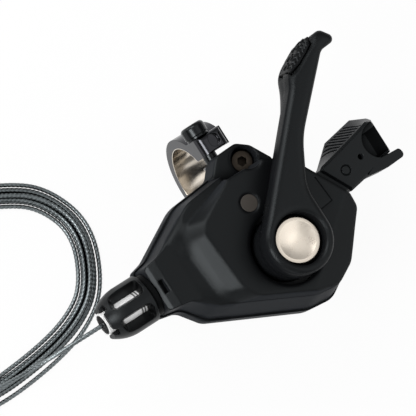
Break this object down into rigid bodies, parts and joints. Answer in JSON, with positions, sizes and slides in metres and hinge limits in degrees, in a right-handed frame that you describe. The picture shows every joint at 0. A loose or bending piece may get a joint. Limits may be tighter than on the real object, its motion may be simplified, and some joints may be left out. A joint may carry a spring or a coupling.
{
  "type": "trigger gear shifter",
  "caption": "Bicycle trigger shifter with a faceted cover, long pull lever, ribbed release lever, bar clamp, barrel adjuster and coiled gear wire.",
  "frame": {"origin": "centre of the handlebar clamp bore", "axes": "+X along the bar towards the release lever, +Y towards the rider, +Z out of the cover"},
  "size_m": [0.1446, 0.0783, 0.0579],
  "materials": {
    "shell_black": "fine satin moulded",
    "plug_black": "satin",
    "steel": "satin",
    "cap_silver": "polished, dished",
    "screw_bronze": "dark bronze coat",
    "clamp_grey": "dark anodised outside, bright bore",
    "bolt_black": "gloss black",
    "insert_brass": "machined",
    "spring_steel": "satin",
    "wire": "galvanised strand",
    "lever_black": "satin moulded",
    "pad_rubber": "matt with raised ovals",
    "bush_plastic": "plain",
    "spool_plastic": "plain",
    "knob_black": "satin moulded",
    "core_silver": "bright turned"
  },
  "bodies": {
    "housing": {"upper_housing": "shell_black", "lower_cover": "shell_black", "access_plug": "plug_black", "base_plate": "steel", "main_axle": "steel", "pivot_cap": "cap_silver", "mount_screw": "screw_bronze", "clamp_band": "clamp_grey", "clamp_bolt": "bolt_black", "clamp_washer": "bolt_black", "cover_screws": "screw_bronze", "release_pin": "steel", "hold_pawl_pin": "steel", "barrel_insert": "insert_brass", "spool_spring": "spring_steel", "lever_spring": "spring_steel", "release_spring": "spring_steel", "hold_spring": "spring_steel", "cable_run": "wire", "cable_free": "wire", "cable_coil": "wire"},
    "pull": {"pull_lever": "lever_black", "thumb_pad": "pad_rubber", "lever_bushing": "bush_plastic", "drive_pawl_pin": "steel"},
    "drive": {"drive_pawl": "steel"},
    "release": {"release_lever": "lever_black"},
    "hold": {"hold_pawl": "steel"},
    "spool": {"cable_spool": "spool_plastic", "index_ratchet": "steel", "drive_ratchet": "steel", "cable_head": "wire", "cable_wrap": "wire"},
    "detent": {"detent_ring": "knob_black"},
    "barrel": {"barrel_knob": "knob_black", "barrel_core": "core_silver"}
  },
  "joints": [
    {"name": "pull_hinge", "type": "hinge", "parent": "housing", "child": "pull", "pos_m": [-0.005, -0.026, 0.036], "axis": [0, 0, -1], "range_deg": [0, 40], "stiffness_Nm_per_rad": 0.06, "springref_deg": -22.92, "deforming": ["lever_spring"]},
    {"name": "drive_pawl_hinge", "type": "hinge", "parent": "pull", "child": "drive", "pos_m": [-0.01135, -0.03044, 0.0282], "axis": [0, 0, 1], "range_deg": [0, 8], "stiffness_Nm_per_rad": 0.002, "springref_deg": -11.46},
    {"name": "release_hinge", "type": "hinge", "parent": "housing", "child": "release", "pos_m": [0.0075, -0.0175, 0.024], "axis": [0, 0, -1], "range_deg": [0, 12], "stiffness_Nm_per_rad": 0.05, "springref_deg": -22.92, "deforming": ["release_spring", "hold_spring"]},
    {"name": "hold_hinge", "type": "hinge", "parent": "housing", "child": "hold", "pos_m": [0.0115, -0.025, 0.0194], "axis": [0, 0, 1], "range_deg": [0, 8.4]},
    {"name": "spool_turn", "type": "hinge", "parent": "housing", "child": "spool", "pos_m": [-0.005, -0.026, 0.024], "axis": [0, 0, -1], "range_deg": [0, 198], "deforming": ["spool_spring"]},
    {"name": "detent_slide", "type": "slide", "parent": "housing", "child": "detent", "axis": [-1, 0, 0], "range_m": [0, 0.002]},
    {"name": "barrel_turn", "type": "hinge", "parent": "detent", "child": "barrel", "pos_m": [-0.049, -0.0176, 0.024], "axis": [-1, 0, 0], "range_deg": [0, 900]}
  ],
  "couplings": [
    {"joint": "hold_hinge", "follows": "release_hinge", "ratio": 0.7},
    {"joint": "barrel_turn", "follows": "detent_slide", "rad_per_m": 7854}
  ]
}
